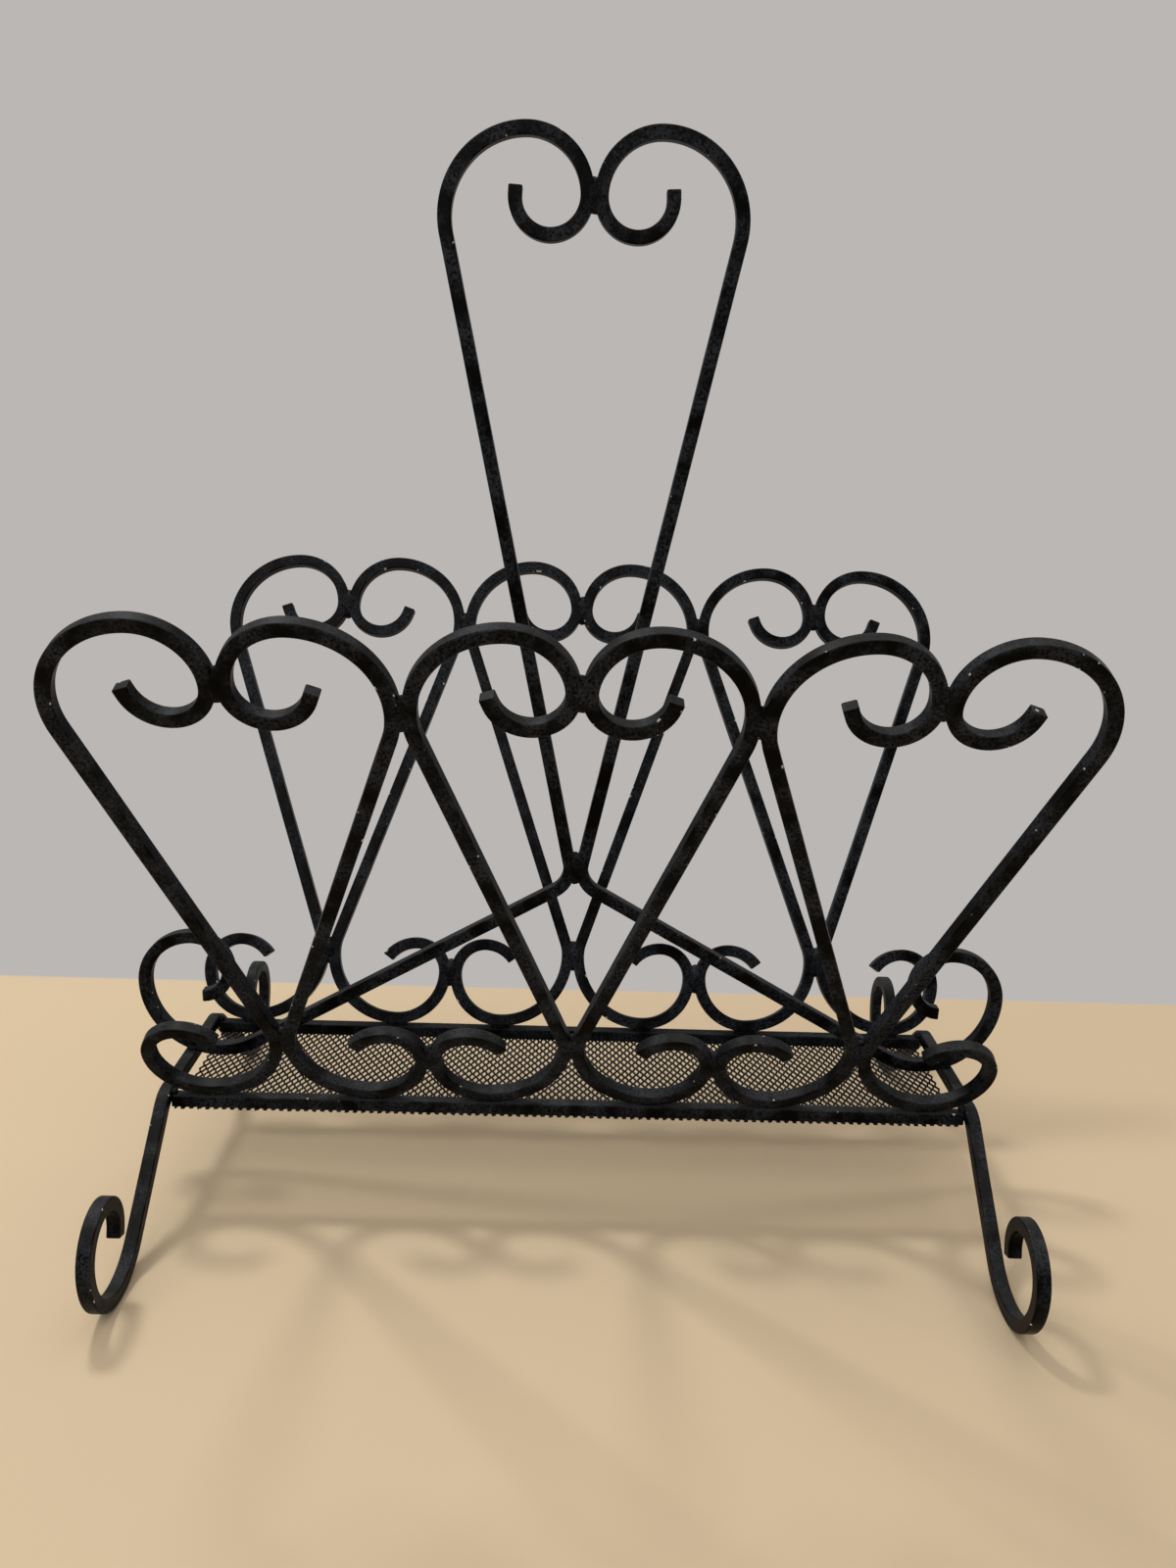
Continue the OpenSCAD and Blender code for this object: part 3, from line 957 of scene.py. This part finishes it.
@dataclass(frozen=True)
class Studio:
    """Plain pale floor, pale surround, lamps and the camera.

    The small overhead lamp stands behind the rack to the left, so that the scrolls' shadows fall in
    front of it. The wide glow and the front fill keep them soft and pale.
    """

    eye: tuple[float, float, float] = (-2.73, -645.1, 396.55)
    yaw: float = 0.72
    pitch: float = -14.52
    roll: float = 1.73
    lens: float = 28.16
    surround: str = "#BBB7B5"
    table: str = "#D3BE9E"
    table_end: float = 243.0
    table_end_blur: float = 2.0
    floor_reach: float = 8.0
    lamps: tuple[Lamp, ...] = (
        Lamp("overhead_light", (-0.74, 0.6, 1.9), (0.0, 0.0, 0.1), 0.28, 14.5),
        Lamp("overhead_glow", (0.1, 0.3, 1.9), (0.0, 0.0, 0.15), 1.6, 6.5),
        Lamp("front_fill", (-0.6, -1.6, 1.5), (0.0, 0.0, 0.2), 1.4, 14.0),
    )

    def build(self) -> None:
        """Makes the floor, lights, world and camera."""
        scene = bpy.context.scene
        scene.view_settings.view_transform = "Standard"
        world = bpy.data.worlds.new("pale_surround")
        scene.world = world
        world.use_nodes = True
        sky = world.node_tree.nodes["Background"]
        sky.inputs["Color"].default_value = linear(self.surround)
        sky.inputs["Strength"].default_value = 1.0
        self.floor()
        for lamp in self.lamps:
            lamp.build()
        self.camera()

    def floor(self) -> None:
        """A wide plane: warm pale table under the rack, and the plain surround beyond its end."""
        mesh = bpy.data.meshes.new("pale_floor")
        far = self.floor_reach
        mesh.from_pydata([(-far, -far, 0), (far, -far, 0), (far, far, 0), (-far, far, 0)], [],
                         [(0, 1, 2, 3)])
        made = bpy.data.materials.new("matt_paper_and_surround")
        made.use_nodes = True
        tree = made.node_tree
        tree.nodes.clear()
        where = add_node(tree, "ShaderNodeTexCoord").outputs["Object"]
        y = add_node(tree, "ShaderNodeSeparateXYZ", {0: where}).outputs["Y"]
        beyond = add_node(tree, "ShaderNodeMapRange",
                          {"Value": y, "From Min": (self.table_end - self.table_end_blur) * MM,
                           "From Max": (self.table_end + self.table_end_blur) * MM}).outputs[0]
        table = add_node(tree, "ShaderNodeBsdfDiffuse", {"Color": linear(self.table)}).outputs[0]
        wall = add_node(tree, "ShaderNodeEmission", {"Color": linear(self.surround)}).outputs[0]
        both = add_node(tree, "ShaderNodeMixShader", {0: beyond, 1: table, 2: wall}).outputs[0]
        add_node(tree, "ShaderNodeOutputMaterial", {"Surface": both})
        mesh.materials.append(made)
        floor = bpy.data.objects.new("pale_floor", mesh)
        bpy.context.scene.collection.objects.link(floor)

    def camera(self) -> None:
        """Adds the camera: it looks along its yaw and pitch, turned by its roll."""
        y, p, r = (math.radians(a) for a in (self.yaw, self.pitch, self.roll))
        ahead = np.array([math.sin(y) * math.cos(p), math.cos(y) * math.cos(p), math.sin(p)])
        right = np.array([math.cos(y), -math.sin(y), 0.0])
        up = np.cross(right, ahead)
        side = right * math.cos(r) + up * math.sin(r)
        top = -right * math.sin(r) + up * math.cos(r)
        turned = Matrix([[*row] for row in np.stack([side, top, -ahead], axis=1).tolist()]).to_4x4()
        turned.translation = [c * MM for c in self.eye]
        data = bpy.data.cameras.new("camera")
        data.sensor_fit, data.sensor_height, data.lens = "VERTICAL", 36.0, self.lens
        data.clip_start, data.clip_end = 0.01, 50.0
        camera = bpy.data.objects.new("camera", data)
        bpy.context.scene.collection.objects.link(camera)
        camera.matrix_world = turned
        bpy.context.scene.camera = camera


def main() -> None:
    """Builds the rack part by part on the CAD nodes' boxes, then the studio."""
    logging.basicConfig(level=logging.INFO, format="%(name)s %(message)s")
    rail, hoop, sheet = cad_box("rear_rail"), cad_box("right_leg_hoop"), cad_box("mesh_floor")
    bar = SquareBar(float(rail.size[2]))
    bar_paint = SatinBlackPaint("satin_black_enamel_on_steel_bar").material()
    # Weld metal stands up in lumps, so the film over it is rougher and holds more dust. The
    # pale grey on its upward faces is partly that dust and partly painted light from above.
    bead_paint = SatinBlackPaint("satin_black_enamel_on_weld", roughness=(0.42, 0.6), lump_mm=0.35,
                                 dust_and_top_light_amount=0.2, chips=False).material()
    # Thin strands take less paint and catch more dust than the bars. The pale grey on their
    # upward faces is partly that dust and partly painted light from above.
    mesh_paint = SatinBlackPaint("satin_black_enamel_on_expanded_steel", worn="#1B1C1E",
                                 roughness=(0.4, 0.58), dust_and_top_light_amount=0.2, chips=False).material()
    panels = Panels(bar, float(rail.middle[1]), float(rail.high[2]))
    handle = Handle(bar, float(cad_box("handle_left_bar").high[2]))
    base = Base(bar, float(hoop.middle[0]), float(rail.middle[1]), float(rail.middle[2]),
                float(hoop.high[2]) - bar.half)
    # The strands stay just inside the sheet's own outline, more so at their uneven cut ends.
    margin, cut_margin = 0.1, 0.5
    floor = ExpandedFloor(float(sheet.high[0]) - margin, float(sheet.high[1]) - cut_margin,
                          float(sheet.high[2]) - margin, base.rail_y - bar.half)
    panels.build(bar_paint)
    handle.build(bar_paint)
    base.build(bar_paint)
    floor.build(mesh_paint)
    Welds(panels, handle, base).build(bead_paint)
    Studio().build()


if __name__ == "__main__":
    main()
